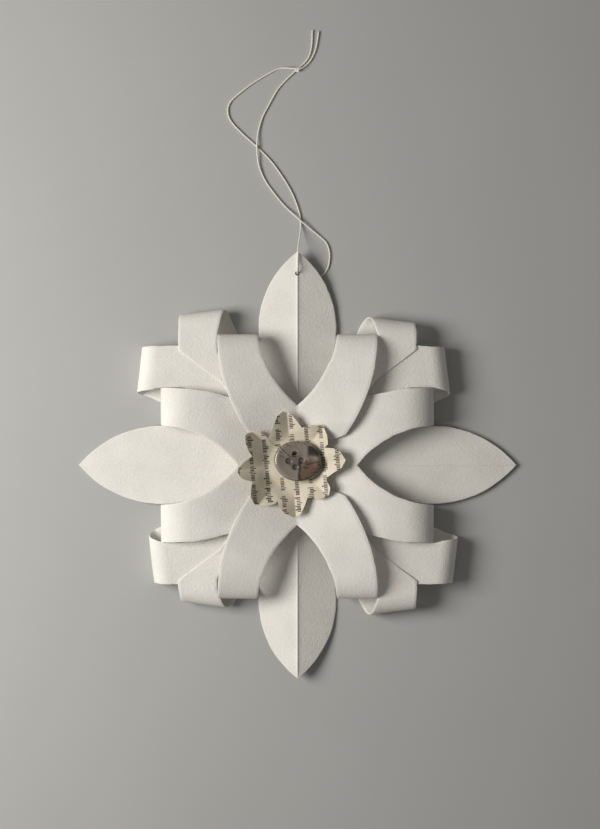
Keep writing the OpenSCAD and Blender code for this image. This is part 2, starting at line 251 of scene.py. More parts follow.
def inner_edge(s, u):
    """Half width at u of a sheet inside its outer strips, an arc up to its widest place."""
    r, before = INNER_EDGE_R[s], min(u, INNER_EDGE_WIDEST) - INNER_EDGE_WIDEST
    return INNER_HALF[s] - r + math.sqrt(r * r - before ** 2)


def inner_back_edge(s, u):
    half = INNER_HALF[s] - 1
    return smooth_lookup(u, [[TIP_REACH, 5.3], [28, 15.8], [35, half], [60, half]])


def outer_front_near(e, u):
    half, end = INNER_HALF[sheet_of(e)] + STRIP_GAP, INNER_REACH[e] + 0.4
    return smooth_lookup(u, [[OUTER_ROOT, 12], [26, 18], [min(31, end - 10), half - 3.1],
                             [min(35, end - 6), half], [end, half], [end + 3, half - 1.2],
                             [end + 18, half - 2.2]])


def outer_front_far(e, u):
    if sheet_of(e) == NORTH_SOUTH:
        return lookup(u, [[OUTER_ROOT, 17], [26, 24], [OUTER_HALF - 1.2, OUTER_HALF], [70, OUTER_HALF - 0.4]])
    return lookup(u, [[OUTER_ROOT, 21.5], [OUTER_HALF - 0.8, OUTER_HALF], [70, OUTER_HALF - 0.6]])


def outer_back_near(u):
    return smooth_lookup(u, [[TIP_REACH, 5.7], [28, 16.2], [40, 18.6], [46, 21.6], [60, 23]])


def outer_back_far(u):
    return smooth_lookup(u, [[TIP_REACH, 8.3], [20, 17.6], [30, 26.4], [OUTER_HALF + 4.8, OUTER_HALF - 0.7],
                             [70, OUTER_HALF - 0.2]])


def lean(v):
    """How much further out the end of an outer strip is at v than in its middle."""
    return OUTER_LEAN * (OUTER_MIDDLE - v)


def outer_root_z(e, u, v):
    """The height of an outer strip where it comes out from under the inner one, and over the other sheet."""
    s = sheet_of(e)
    own = (front_z(s, INNER_REACH[e], OUTER_ROOT, OUTER_ROOT_NEAR) - OUTER_ROOT_DROP[s]
           + OUTER_ROOT_BANK[s] * (v - OUTER_ROOT_NEAR))
    if s == EAST_WEST:
        return own
    return max(own, front_z(EAST_WEST, INNER_REACH["east"], v, u) + SHEET_GAP)


# ---------------------------------------------------------------- closed sheets from a grid

def direction(v):
    length = math.sqrt(sum(c * c for c in v))
    return tuple(c / length for c in v)


def cross(a, b):
    return (a[1] * b[2] - a[2] * b[1], a[2] * b[0] - a[0] * b[2], a[0] * b[1] - a[1] * b[0])


def minus(a, b):
    return tuple(p - q for p, q in zip(a, b))


def grid_normals(grid):
    n, m = len(grid) - 1, len(grid[0]) - 1
    return [[direction(cross(minus(grid[min(i + 1, n)][j], grid[max(i - 1, 0)][j]),
                             minus(grid[i][min(j + 1, m)], grid[i][max(j - 1, 0)])))
             for j in range(m + 1)] for i in range(n + 1)]


def waved(grid, seed, fade_out):
    """The sheet with slow waves across it, which fade out towards its first and last rows. Heights count
    twice, so that the back of a loop has waves of its own."""
    normals, n = grid_normals(grid), len(grid) - 1
    rows = []
    for i, row in enumerate(grid):
        t = i / n
        fade = ease(t / WAVE_FADE_IN) * ease((1 - t) / fade_out)
        rows.append([tuple(c + SHEET_WAVE * fade * wave(p[0] + p[2] * 2, p[1], seed, WAVE_LENGTH) * k
                           for c, k in zip(p, normals[i][j])) for j, p in enumerate(row)])
    return rows


def turned(x, y, a):
    return x * math.cos(a) - y * math.sin(a), x * math.sin(a) + y * math.cos(a)


def turn_to_end(e, side, grid):
    """A grid drawn along +X, at the end of the star that it belongs to; the right side is mirrored."""
    a = math.radians(90 + 90 * ENDS.index(e))
    mirror = -1 if side == "right" else 1
    return [[(*turned(x, y * mirror, a), z) for x, y, z in row] for row in grid]


def new_object(name, bm, materials):
    mesh = bpy.data.meshes.new(name)
    bm.to_mesh(mesh)
    bm.free()
    for m in materials:
        mesh.materials.append(m)
    piece = bpy.data.objects.new(name, mesh)
    bpy.context.scene.collection.objects.link(piece)
    return piece


def between(p, q, reach):
    """The point at a distance from p on the way to q, and never past the middle."""
    length = math.sqrt(sum((b - a) ** 2 for a, b in zip(p, q)))
    share = min(0.5, reach / length)
    return tuple(mix(a, b, share) for a, b in zip(p, q))


def sheet_piece(name, grid, materials, seams):
    """A closed sheet of paper on a grid of points, smooth on its faces and sharp at its cut edges, which the
    scissors have pinched a little. seams says whether the sheet goes on in another piece past its first row,
    its last row or both."""
    grid = [[row[0], between(row[0], row[1], PINCH_REACH), *row[1:-1],
             between(row[-1], row[-2], PINCH_REACH), row[-1]] for row in grid]
    n, m = len(grid), len(grid[0])
    normals = grid_normals(grid)
    bm = bmesh.new()
    rim = bm.verts.layers.float.new("rim")
    layers = []
    for side in (0.5, -0.5):
        rows = []
        for i in range(n):
            row = []
            for j in range(m):
                ends_here = (i == 0 and "first" not in seams) or (i == n - 1 and "last" not in seams)
                on_border = j in (0, m - 1) or ends_here
                half = PAPER_T * side * (PINCH if on_border else 1)
                vert = bm.verts.new([(c + k * half) * MM for c, k in zip(grid[i][j], normals[i][j])])
                vert[rim] = 1.0 if on_border else HIGHLIGHT_AND_WEAR_BESIDE_CUT if j in (1, m - 2) else 0.0
                row.append(vert)
            rows.append(row)
        layers.append(rows)
    top, low = layers
    for i in range(n - 1):
        for j in range(m - 1):
            bm.faces.new((top[i][j], top[i][j + 1], top[i + 1][j + 1], top[i + 1][j]))
            bm.faces.new((low[i][j], low[i + 1][j], low[i + 1][j + 1], low[i][j + 1]))
    border = ([(0, j) for j in range(m - 1)] + [(i, m - 1) for i in range(n - 1)]
              + [(n - 1, j) for j in range(m - 1, 0, -1)] + [(i, 0) for i in range(n - 1, 0, -1)])
    for (i, j), (k, l) in zip(border, border[1:] + border[:1]):
        face = bm.faces.new((top[i][j], low[i][j], low[k][l], top[k][l]))
        face.material_index = 1
    sharp_at_cuts(bm)
    return new_object(name, bm, materials)


def ring_walls(bm, rings):
    """Faces between each ring of points and the next."""
    for a, b in zip(rings, rings[1:]):
        for k in range(len(a)):
            j = (k + 1) % len(a)
            bm.faces.new((a[k], a[j], b[j], b[k]))


def smooth_all_over(bm):
    """Outward normals and smooth faces."""
    bmesh.ops.recalc_face_normals(bm, faces=bm.faces)
    for face in bm.faces:
        face.smooth = True


def sharp_at_cuts(bm):
    """Smooth faces, with sharp edges where a face meets a cut edge."""
    smooth_all_over(bm)
    for edge in bm.edges:
        edge.smooth = len({f.material_index for f in edge.link_faces}) == 1


def stands_for(piece, node, body="star"):
    """Which node of the frame a piece replaces, and the body that it rides on."""
    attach(piece, body)
    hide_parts(node)


def carve(piece, cutter):
    """Cuts one closed piece out of another."""
    cut = piece.modifiers.new("cut", "BOOLEAN")
    cut.object = cutter
    cut.operation = "DIFFERENCE"
    cut.solver = "EXACT"
    bpy.context.view_layer.update()
    done = bpy.data.meshes.new_from_object(piece.evaluated_get(bpy.context.evaluated_depsgraph_get()))
    piece.modifiers.clear()
    old, piece.data = piece.data, done
    done.name = piece.name
    bpy.data.meshes.remove(old)
    bpy.data.objects.remove(cutter)


HOLE_SIDES = 40
FLARE_DEPTH = 1.5      # for a flare 1 wide


def round_cutter(centre, radius, low, high, flare=0.0):
    """A round hole's cutter; flare opens it out at its top, as a countersink does."""
    bm = bmesh.new()
    profile = [(radius, low), (radius, high - flare * FLARE_DEPTH), (radius + flare, high)]
    angles = [2 * math.pi * k / HOLE_SIDES for k in range(HOLE_SIDES)]
    rings = [[bm.verts.new(((centre[0] + r * math.cos(a)) * MM, (centre[1] + r * math.sin(a)) * MM, z * MM))
              for a in angles] for r, z in profile]
    ring_walls(bm, rings)
    bm.faces.new(rings[0][::-1])
    bm.faces.new(rings[-1])
    bmesh.ops.recalc_face_normals(bm, faces=bm.faces)
    return new_object("cutter", bm, [])


# ---------------------------------------------------------------- shader building blocks

class Shader:
    """Builds one material or node group, one node a call."""

    def __init__(self, tree):
        self.tree = tree

    def node(self, kind, settings=None, **inputs):
        made = self.tree.nodes.new(kind)
        for key, value in (settings or {}).items():
            setattr(made, key, value)
        for key, value in inputs.items():
            self.feed(made, key.replace("_", " "), value)
        return made

    def feed(self, node, key, value):
        socket = node.inputs[int(key[1:])] if key[0] == "i" and key[1:].isdigit() else node.inputs[key]
        if isinstance(value, bpy.types.NodeSocket):
            self.tree.links.new(value, socket)
        else:
            socket.default_value = value

    def math(self, operation, a, b=0.0):
        return self.node("ShaderNodeMath", {"operation": operation}, i0=a, i1=b).outputs[0]

    def plus(self, a, b):
        return self.math("ADD", a, b)

    def less(self, a, b):
        return self.math("SUBTRACT", a, b)

    def times(self, a, b):
        return self.math("MULTIPLY", a, b)

    def over(self, a, b):
        return self.math("DIVIDE", a, b)

    def ramp(self, value, low, high, to_low=0.0, to_high=1.0, kind="SMOOTHSTEP"):
        """Runs from to_low to to_high as value goes from low to high."""
        made = self.node("ShaderNodeMapRange", {"interpolation_type": kind})
        for key, v in (("Value", value), ("From Min", low), ("From Max", high), ("To Min", to_low),
                       ("To Max", to_high)):
            self.feed(made, key, v)
        return made.outputs[0]

    def blend(self, factor, a, b):
        made = self.node("ShaderNodeMix", {"data_type": "RGBA"})
        for index, v in ((0, factor), (6, a), (7, b)):
            if isinstance(v, bpy.types.NodeSocket):
                self.tree.links.new(v, made.inputs[index])
            else:
                made.inputs[index].default_value = v
        return made.outputs[2]

    def noise(self, where, scale, detail=2.0, roughness=0.5):
        return self.node("ShaderNodeTexNoise", Vector=where, Scale=scale, Detail=detail,
                         Roughness=roughness).outputs["Fac"]

    def dice(self, key):
        """Three random numbers from 0 to 1 for each key."""
        return self.node("ShaderNodeTexWhiteNoise", {"noise_dimensions": "3D"}, Vector=key)

    def place(self, location=(0, 0, 0), turn=0.0, stretch=(1, 1, 1)):
        """Coordinates in millimetres round a place on the star, turned and then stretched."""
        where = self.node("ShaderNodeTexCoord").outputs["Object"]
        moved = self.node("ShaderNodeVectorMath", {"operation": "MULTIPLY_ADD"}, i0=where,
                          i1=(1 / MM, 1 / MM, 1 / MM), i2=tuple(-c for c in location)).outputs[0]
        turned = self.node("ShaderNodeVectorRotate", {"rotation_type": "Z_AXIS"}, Vector=moved,
                           Angle=-turn).outputs[0]
        return self.node("ShaderNodeVectorMath", {"operation": "MULTIPLY"}, i0=turned, i1=stretch).outputs[0]

    def split(self, vector):
        made = self.node("ShaderNodeSeparateXYZ", Vector=vector)
        return made.outputs[0], made.outputs[1], made.outputs[2]

    def group(self, tree, **inputs):
        made = self.node("ShaderNodeGroup", {"node_tree": tree})
        for key, value in inputs.items():
            self.feed(made, key.replace("_", " "), value)
        return made.outputs


def rgb(r, g, b):
    return (r, g, b, 1.0)


def new_group(name, inputs, outputs):
    tree = bpy.data.node_groups.new(name, "ShaderNodeTree")
    for title, value in inputs.items():
        kind = "NodeSocketVector" if value is None else "NodeSocketFloat"
        socket = tree.interface.new_socket(title, in_out="INPUT", socket_type=kind)
        if value is not None:
            socket.default_value = value
    for title in outputs:
        tree.interface.new_socket(title, in_out="OUTPUT", socket_type="NodeSocketFloat")
    shader = Shader(tree)
    return tree, shader, shader.node("NodeGroupInput").outputs, shader.node("NodeGroupOutput")


def felt_grain_group():
    """The soft pebbled grain of paper: a height for bumps and a tone for its faint mottling."""
    tree, s, given, out = new_group("felt grain", {"Place": None, "Grain Size": 0.6, "Mottle Size": 6.0},
                                    ["Height", "Tone"])
    fine = s.over(1.0, given["Grain Size"])
    wide = s.over(1.0, given["Mottle Size"])
    pebble = s.noise(given["Place"], fine, 3.0, 0.55)
    fibre_place = s.node("ShaderNodeVectorMath", {"operation": "MULTIPLY"}, i0=given["Place"],
                         i1=(0.45, 2.2, 1.0)).outputs[0]
    fibre = s.noise(fibre_place, fine, 2.0, 0.6)
    cloud = s.noise(given["Place"], wide, 3.0, 0.5)
    height = s.plus(s.times(pebble, 0.7), s.times(fibre, 0.3))
    tone = s.plus(s.times(cloud, 0.6), s.times(pebble, 0.4))
    s.feed(out, "Height", height)
    s.feed(out, "Tone", s.ramp(tone, 0.3, 0.7))
    return tree


def cut_rim_highlight_and_wear_group():
    """A painted highlight where light catches cut edges, with a little wear: a mask that is 1 at the rim of a
    sheet, broken up along its length.
    """
    tree, s, given, out = new_group("cut rim highlight and wear", {"Place": None, "Reach": 0.5, "Break Size": 1.5}, ["Mask"])
    rim = s.node("ShaderNodeAttribute", {"attribute_name": "rim"}).outputs["Fac"]
    size = s.over(1.0, given["Break Size"])
    broken = s.ramp(s.noise(given["Place"], size, 2.0, 0.6), 0.35, 0.65, 0.45, 1.0)
    near = s.ramp(rim, s.less(1.0, given["Reach"]), 1.0)
    s.feed(out, "Mask", s.times(near, broken))
    return tree


def new_material(name, roughness, **sockets):
    made = bpy.data.materials.new(name)
    made.use_nodes = True
    made.node_tree.nodes.clear()
    s = Shader(made.node_tree)
    surface = s.node("ShaderNodeBsdfPrincipled", Roughness=roughness, **sockets)
    s.node("ShaderNodeOutputMaterial", Surface=surface.outputs[0])
    return made, s, surface


def bump(s, surface, height, strength, distance_mm):
    made = s.node("ShaderNodeBump", Strength=strength, Distance=distance_mm * MM, Height=height)
    s.feed(surface, "Normal", made.outputs["Normal"])


FELT_GRAIN = felt_grain_group()
CUT_RIM_HIGHLIGHT_AND_WEAR = cut_rim_highlight_and_wear_group()


def white_paper():
    """Heavy drawing paper with a felt grain, painted lighter along its cut rims as a highlight with a little
    wear.
    """
    made, s, surface = new_material("white_paper", 0.82, Specular_IOR_Level=0.25)
    where = s.place()
    grain = s.group(FELT_GRAIN, Place=where, Grain_Size=0.55, Mottle_Size=9.0)
    rim_highlight_and_wear = s.group(CUT_RIM_HIGHLIGHT_AND_WEAR, Place=where, Reach=0.55, Break_Size=2.0)["Mask"]
    paper = s.blend(grain["Tone"], rgb(0.80, 0.782, 0.735), rgb(0.89, 0.873, 0.83))
    # painted highlight with a little wear: the paper is lightened along its cut rims
    s.feed(surface, "Base Color", s.blend(s.times(rim_highlight_and_wear, 0.75), paper, rgb(0.95, 0.94, 0.91)))
    s.feed(surface, "Roughness", s.ramp(grain["Height"], 0.3, 0.7, 0.9, 0.74))
    bump(s, surface, grain["Height"], 0.9, 0.24)
    return made


def cut_paper_edge():
    """The cut edge of the white paper, fibrous and bright."""
    made, s, surface = new_material("cut_paper_edge", 0.95, Specular_IOR_Level=0.15)
    grain = s.group(FELT_GRAIN, Place=s.place(), Grain_Size=0.14, Mottle_Size=2.5)
    s.feed(surface, "Base Color", s.blend(grain["Tone"], rgb(0.84, 0.825, 0.79), rgb(0.94, 0.93, 0.90)))
    bump(s, surface, grain["Height"], 0.8, 0.06)
    return made


# Rows of marks on the page. A row is made of groups, and each group is filled with marks only in part.
ROW_PITCH = 4.46
ROW_TURN = math.radians(5.5)
ROW_START = -14.2
ROW_SHIFT = 3.7                 # from one row to the next, in marks
MARK_STEP = 0.52
MARK_HALF = 0.6
TALL_MARK_HALF = 0.88
MARK_HALF_WIDE = (0.24, 0.43)   # the least and the most, as shares of MARK_STEP
MARKS_IN_GROUP = 10
GROUP_FILL = (0.62, 0.94)       # the least and the most, as shares
TALL_FROM = 0.74                # a mark whose first throw is above this is tall
UP_FROM = 0.4                   # and goes up, not down, if its third throw is above this
MARK_SEED, GROUP_SEED = 3.0, 8.0


def print_marks(s):
    """Rows of short dark bars in groups, which stand for print without being letters."""
    across, along, _ = s.split(s.place((ROW_START - ROW_PITCH / 2, 0, 0), ROW_TURN))
    row_share = s.over(across, ROW_PITCH)
    row = s.math("FLOOR", row_share)
    off_row = s.times(s.less(s.math("FRACT", row_share), 0.5), ROW_PITCH)
    mark_share = s.plus(s.over(along, MARK_STEP), s.times(row, ROW_SHIFT))
    mark = s.math("FLOOR", mark_share)
    key = s.node("ShaderNodeCombineXYZ", X=mark, Y=row, Z=MARK_SEED).outputs[0]
    tall, wide, shift = s.split(s.dice(key).outputs["Color"])
    group_share = s.over(mark, MARKS_IN_GROUP)
    group_key = s.node("ShaderNodeCombineXYZ", X=s.math("FLOOR", group_share), Y=row,
                       Z=GROUP_SEED).outputs[0]
    fill = s.ramp(s.dice(group_key).outputs["Value"], 0, 1, *GROUP_FILL, "LINEAR")
    filled = s.math("LESS_THAN", s.math("FRACT", group_share), fill)
    from_centre = s.math("ABSOLUTE", s.less(s.math("FRACT", mark_share), 0.5))
    bar = s.ramp(s.less(s.ramp(wide, 0, 1, *MARK_HALF_WIDE, "LINEAR"), from_centre), -0.06, 0.10)
    is_tall = s.math("GREATER_THAN", tall, TALL_FROM)
    side = s.less(s.math("GREATER_THAN", shift, UP_FROM), 0.5)
    lift = s.times(s.times(is_tall, side), 2 * (TALL_MARK_HALF - MARK_HALF))
    reach = s.plus(MARK_HALF, s.times(is_tall, TALL_MARK_HALF - MARK_HALF))
    inside = s.ramp(s.less(reach, s.math("ABSOLUTE", s.less(off_row, lift))), -0.05, 0.07)
    return s.times(s.times(bar, inside), filled)


def printed_page():
    """An aged cream book page with rows of dark marks, painted paler along its cut rims as a highlight with a
    little wear.
    """
    made, s, surface = new_material("printed_page", 0.8, Specular_IOR_Level=0.25)
    where = s.place()
    grain = s.group(FELT_GRAIN, Place=where, Grain_Size=0.35, Mottle_Size=5.0)
    rim_highlight_and_wear = s.group(CUT_RIM_HIGHLIGHT_AND_WEAR, Place=where, Reach=0.6, Break_Size=1.2)["Mask"]
    page = s.blend(grain["Tone"], rgb(0.70, 0.625, 0.475), rgb(0.84, 0.775, 0.65))
    # painted highlight with a little wear: the page is lightened along its cut rims
    page = s.blend(s.times(rim_highlight_and_wear, 0.7), page, rgb(0.88, 0.85, 0.77))
    ink = s.times(print_marks(s), s.ramp(grain["Height"], 0.25, 0.6, 0.72, 0.97))
    s.feed(surface, "Base Color", s.blend(ink, page, rgb(0.035, 0.026, 0.022)))
    s.feed(surface, "Roughness", s.ramp(ink, 0, 1, 0.84, 0.62))
    bump(s, surface, grain["Height"], 0.5, 0.05)
    return made


def cut_page_edge():
    """The pale cut edge of the page."""
    made, s, surface = new_material("cut_page_edge", 0.92, Specular_IOR_Level=0.15)
    grain = s.group(FELT_GRAIN, Place=s.place(), Grain_Size=0.12, Mottle_Size=2.0)
    s.feed(surface, "Base Color", s.blend(grain["Tone"], rgb(0.80, 0.75, 0.64), rgb(0.90, 0.87, 0.79)))
    bump(s, surface, grain["Height"], 0.6, 0.04)
    return made


def dried_glue():
    """Craft glue that has dried milky, with small bubbles."""
    made, s, surface = new_material("dried_glue", 0.35, Specular_IOR_Level=0.5)
    where = s.place()
    bubbles = s.node("ShaderNodeTexVoronoi", {"feature": "F1"}, Vector=where, Scale=1.8).outputs["Distance"]
    cloud = s.noise(where, 0.7, 3.0)
    s.feed(surface, "Base Color", s.blend(cloud, rgb(0.78, 0.76, 0.66), rgb(0.88, 0.87, 0.80)))
    s.feed(surface, "Roughness", s.ramp(cloud, 0.3, 0.7, 0.25, 0.5))
    bump(s, surface, s.ramp(bubbles, 0.0, 0.35), 0.4, 0.08)
    return made


BUTTON_LONG = 14.9
BUTTON_SHORT = 12.7
BUTTON_CENTRE = (0.1, 1.3)
BUTTON_TURN = math.radians(-8)
HOLE_RING = 2
HOLE_RING_SHIFT = -0.8
STREAK_TURN = math.radians(-42)


def horn_button():
    """Polished grey-brown horn: streaks that run across it, an amber patch, a few near-black flecks, and
    painted shade on the rim's lower right.
    """
    made, s, surface = new_material("horn_button", 0.2, Specular_IOR_Level=0.5, Coat_Weight=0.8,
                                    Coat_Roughness=0.12)
    centre = (*BUTTON_CENTRE, 0)
    x, y, _ = s.split(s.place(centre))
    cloud = s.noise(s.place(), 0.35, 3.0, 0.55)
    warp = s.times(s.less(cloud, 0.5), 2.6)
    lines = s.noise(s.place(centre, STREAK_TURN, (0.22, 2.4, 1)), 1.0, 3.0, 0.6)
    # where each patch lies on the button's face
    upper_left = s.times(s.ramp(y, 0.2, 2.2), s.ramp(s.plus(x, warp), 4.0, 1.5))
    streaks = s.times(s.ramp(lines, 0.53, 0.63), upper_left)
    east = s.ramp(s.plus(s.plus(x, s.times(y, -0.25)), warp), 1.2, 2.6)
    amber = s.times(east, s.ramp(s.plus(y, warp), 1.6, -0.4))
    black = s.times(s.ramp(s.plus(x, s.times(warp, 0.5)), 2.4, 3.6),
                    s.times(s.ramp(s.plus(y, s.times(warp, 0.6)), 0.6, 2.2), s.ramp(y, 5.2, 4.2)))
    seam_line = s.math("ABSOLUTE", s.less(s.plus(x, s.times(warp, 0.8)), 0.7))
    seam = s.times(s.ramp(seam_line, 0.75, 0.2), s.ramp(y, 0.2, -0.8))
    dark_lines = s.times(s.ramp(s.noise(s.place(centre, 0.2, (0.5, 2.2, 1)), 1.0, 2.0), 0.52, 0.6), amber)
    rim_x = s.over(x, BUTTON_LONG / 2)
    rim_y = s.over(y, BUTTON_SHORT / 2)
    rim = s.math("SQRT", s.plus(s.times(rim_x, rim_x), s.times(rim_y, rim_y)))
    # painted shade: the rim is darkened at its lower right, the side turned away from the light
    edge = s.times(s.ramp(rim, 0.9, 0.99), s.ramp(s.less(x, y), -1.0, 3.0))
    from_holes = s.node("ShaderNodeVectorMath", {"operation": "LENGTH"},
                        i0=s.place((BUTTON_CENTRE[0] + HOLE_RING_SHIFT, BUTTON_CENTRE[1], 0), 0, (1, 1, 0)))
    stain = s.ramp(s.plus(from_holes.outputs["Value"], s.times(warp, 0.8)), 3.6, 1.6)
    base = s.blend(cloud, rgb(0.21, 0.182, 0.148), rgb(0.34, 0.30, 0.245))
    for mask, share, colour in (
            (stain, 0.6, rgb(0.07, 0.052, 0.058)), (streaks, 0.75, rgb(0.045, 0.035, 0.03)),
            (amber, 0.85, rgb(0.12, 0.066, 0.034)), (dark_lines, 0.75, rgb(0.03, 0.017, 0.012)),
            (black, 0.93, rgb(0.012, 0.01, 0.01)), (seam, 0.8, rgb(0.02, 0.013, 0.012)),
            (edge, 0.85, rgb(0.018, 0.013, 0.012))):
        base = s.blend(s.times(mask, share), base, colour)
    s.feed(surface, "Base Color", base)
    s.feed(surface, "Roughness", s.ramp(cloud, 0.3, 0.7, 0.16, 0.3))
    bump(s, surface, s.plus(s.times(lines, 0.4), cloud), 0.12, 0.15)
    return made


def cotton_thread():
    """Off-white twisted cotton, with fine fibres along its turns."""
    made, s, surface = new_material("cotton_thread", 0.9, Specular_IOR_Level=0.2, Sheen_Weight=0.25,
                                    Sheen_Roughness=0.5)
    where = s.place()
    fibres = s.noise(where, 9.0, 3.0, 0.7)
    cloud = s.noise(where, 0.4, 2.0)
    s.feed(surface, "Base Color", s.blend(cloud, rgb(0.80, 0.775, 0.71), rgb(0.90, 0.88, 0.82)))
    s.feed(surface, "Roughness", s.ramp(fibres, 0.3, 0.7, 0.95, 0.8))
    bump(s, surface, fibres, 0.6, 0.05)
    return made


# ---------------------------------------------------------------- camera and light

VIEW_CENTRE = (0.8, 15.8)
VIEW_TALL = 259
VIEW_PLANE_Z = 6       # VIEW_TALL is measured at this height
CAMERA_HEIGHT = 1006
SENSOR = 36
WINDOW_AT = (-355, 30, 295)
WINDOW_SIZE = 260
WINDOW_POWER = 2.02
WINDOW_COLOUR = (1.0, 0.972, 0.925)
ROOM_LIGHT = 0.155
ROOM_COLOUR = (1.0, 0.975, 0.93, 1.0)


def straight_down_camera():
    data = bpy.data.cameras.new("camera")
    data.sensor_width = SENSOR
    data.lens = SENSOR * (CAMERA_HEIGHT - VIEW_PLANE_Z) / VIEW_TALL
    data.clip_start, data.clip_end = 0.01, 20
    camera = bpy.data.objects.new("camera", data)
    camera.location = (VIEW_CENTRE[0] * MM, VIEW_CENTRE[1] * MM, CAMERA_HEIGHT * MM)
    bpy.context.scene.collection.objects.link(camera)
    bpy.context.scene.camera = camera
    bpy.context.scene.view_settings.view_transform = "Standard"


def window_light():
    """A soft light like a near window in the west, which points at the star."""
    data = bpy.data.lights.new("window_light", "AREA")
    data.shape, data.size = "DISK", WINDOW_SIZE * MM
    data.energy, data.color = WINDOW_POWER, WINDOW_COLOUR
    light = bpy.data.objects.new("window_light", data)
    light.location = Vector(WINDOW_AT) * MM
    light.rotation_mode = "QUATERNION"
    light.rotation_quaternion = (-Vector(WINDOW_AT)).to_track_quat("-Z", "Y")
    bpy.context.scene.collection.objects.link(light)


def room_light():
    """The dimmer light that comes from all round."""
    world = bpy.data.worlds.new("room")
    world.use_nodes = True
    background = world.node_tree.nodes["Background"].inputs
    background["Color"].default_value = ROOM_COLOUR
    background["Strength"].default_value = ROOM_LIGHT
    bpy.context.scene.world = world


TABLE_HALF = 1600
TABLE_DROP = 0.02      # keeps the table just clear of the paper that lies on it


def pale_table():
    """A plain pale table, with the faintest unevenness."""
    bm = bmesh.new()
    bmesh.ops.create_grid(bm, x_segments=2, y_segments=2, size=TABLE_HALF * MM)
    made, s, surface = new_material("pale_table", 0.85, Specular_IOR_Level=0.2)
    cloud = s.noise(s.place(), 0.02, 2.0)
    s.feed(surface, "Base Color", s.blend(cloud, rgb(0.47, 0.47, 0.465), rgb(0.50, 0.50, 0.495)))
    table = new_object("table", bm, [made])
    table.location.z = -TABLE_DROP * MM


# ---------------------------------------------------------------- thread

THREAD_D = 0.6
THREAD_TWIST = 2.4
THREAD_SIDES = 14
# Its two plies, as shares of its radius: where they meet, and how much further out they reach
PLY_WAIST = 0.64
PLY_LOBE = 0.24
LOW = THREAD_D / 2 + 0.07      # where the thread lies on the table
OVER_LEAF = TIP_Z + PAPER_T / 2 + THREAD_D / 2 + 0.1
KNOT_AT = (0, 57.4, 1)
KNOT_SIZE = 0.235
KNOT_HEIGHT = 1.1      # for KNOT_SIZE
KNOT_TIGHT = 0.8       # how thick the thread is in its knot, as a share of the rest
KNOT_STEPS = 120

# Points of each strand, measured from the north leaf's point
FRONT_ROUTE = [
    (0, -HOLE_INSET, TIP_Z), (0, 0.2 - HOLE_INSET, 4.8), (0, 0.9 - HOLE_INSET, 5.4), (0.1, -4.8, 5.4),
    (0.1, -2.8, 4.9), (0.2, -0.8, OVER_LEAF), (0.2, 1.2, 4.1), (0.6, 3.9, 2.6), (1, 7.7, 0.8),
    (0.8, 11.5, LOW), (-0.6, 16, LOW), (-2.5, 20.1, LOW), (-5.2, 24.4, LOW), (-8.4, 28.7, LOW),
    (-12.7, 33.1, LOW), (-16.5, 36.5, LOW), (-19.7, 39.7, LOW), (-21.4, 42.1, LOW), (-21.9, 44.8, LOW),
    (-21.1, 47.1, LOW), (-19.2, 49.1, LOW), (-14.3, 52.9, LOW), (-8.9, 56.2, LOW), (-5.2, 57.8, LOW),
    (-0.8, 57.6, 1.2), (0.9, 57.6, 1.2), (2.6, 58.6, 0.6), (4.5, 60.9, LOW), (5.9, 64.4, LOW),
    (6.7, 69.4, LOW)]
BACK_ROUTE = [
    (0, -HOLE_INSET, TIP_Z), (0.1, -0.1 - HOLE_INSET, 3.4), (0.8, -0.2 - HOLE_INSET, 2.6),
    (2, -0.4 - HOLE_INSET, 2.1), (4, -0.7 - HOLE_INSET, 1.6), (6.2, -7.7, 0.9), (8, -7.1, LOW),
    (9.4, -5.2, LOW), (10, -3, LOW), (10.1, -0.2, LOW), (9.2, 2.7, LOW), (7.2, 4.8, LOW), (4, 7.4, 0.7),
    (0.4, 10.4, 1.1), (-3.6, 14.1, 0.5), (-7.3, 18.5, LOW), (-10.3, 22.8, LOW), (-12.2, 27.6, 0.6),
    (-12.7, 32.8, 1), (-12.4, 37.3, 0.6), (-11.1, 42.1, LOW), (-8.9, 46.4, LOW), (-6.3, 51, LOW),
    (-3.9, 53.8, LOW), (-0.7, 56.9, 0.55), (0.5, 58.1, 0.55), (1.9, 59.2, LOW), (3.6, 61.5, LOW),
    (4.5, 65, LOW), (4.7, 69.7, LOW)]


# Up, but never along a strand
NEARLY_UP = Vector((0, 0.05, 1))


def smooth_curve(points, per_part=12):
    """A smooth curve through points."""
    out = []
    last = len(points) - 1
    for i in range(last):
        a, b, c, d = (Vector(points[min(max(k, 0), last)]) for k in (i - 1, i, i + 1, i + 2))
        for k in range(per_part):
            t = k / per_part
            out.append(0.5 * (2 * b + (c - a) * t + (2 * a - 5 * b + 4 * c - d) * t * t
                              + (3 * b - a - 3 * c + d) * t ** 3))
    return out + [Vector(points[-1])]


def twisted_tube(bm, path, radius):
    """A two-ply thread: a tube with two lobes that turn along its length."""
    rings, run = [], 0.0
    for i, p in enumerate(path):
        ahead, behind = path[min(i + 1, len(path) - 1)], path[max(i - 1, 0)]
        run += (p - path[i - 1]).length if i else 0
        along = (ahead - behind).normalized()
        side = along.cross(NEARLY_UP).normalized()
        up = side.cross(along)
        ring = []
        for k in range(THREAD_SIDES):
            a = 2 * math.pi * k / THREAD_SIDES
            r = radius * (PLY_WAIST + PLY_LOBE * abs(math.cos(a - 2 * math.pi * run / THREAD_TWIST)))
            ring.append(bm.verts.new((p + r * (side * math.cos(a) + up * math.sin(a))) * MM))
        rings.append(ring)
    ring_walls(bm, rings)
    return rings


def thread_strand(name, route, node, materials):
    path = [p + Vector((0, LEAF_REACH[NORTH_SOUTH], 0)) for p in smooth_curve(route)]
    bm = bmesh.new()
    rings = twisted_tube(bm, path, THREAD_D / 2)
    bm.faces.new(rings[0][::-1])
    bm.faces.new(rings[-1])
    smooth_all_over(bm)
    strand = new_object(name, bm, materials)
    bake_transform(strand)
    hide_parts(node)


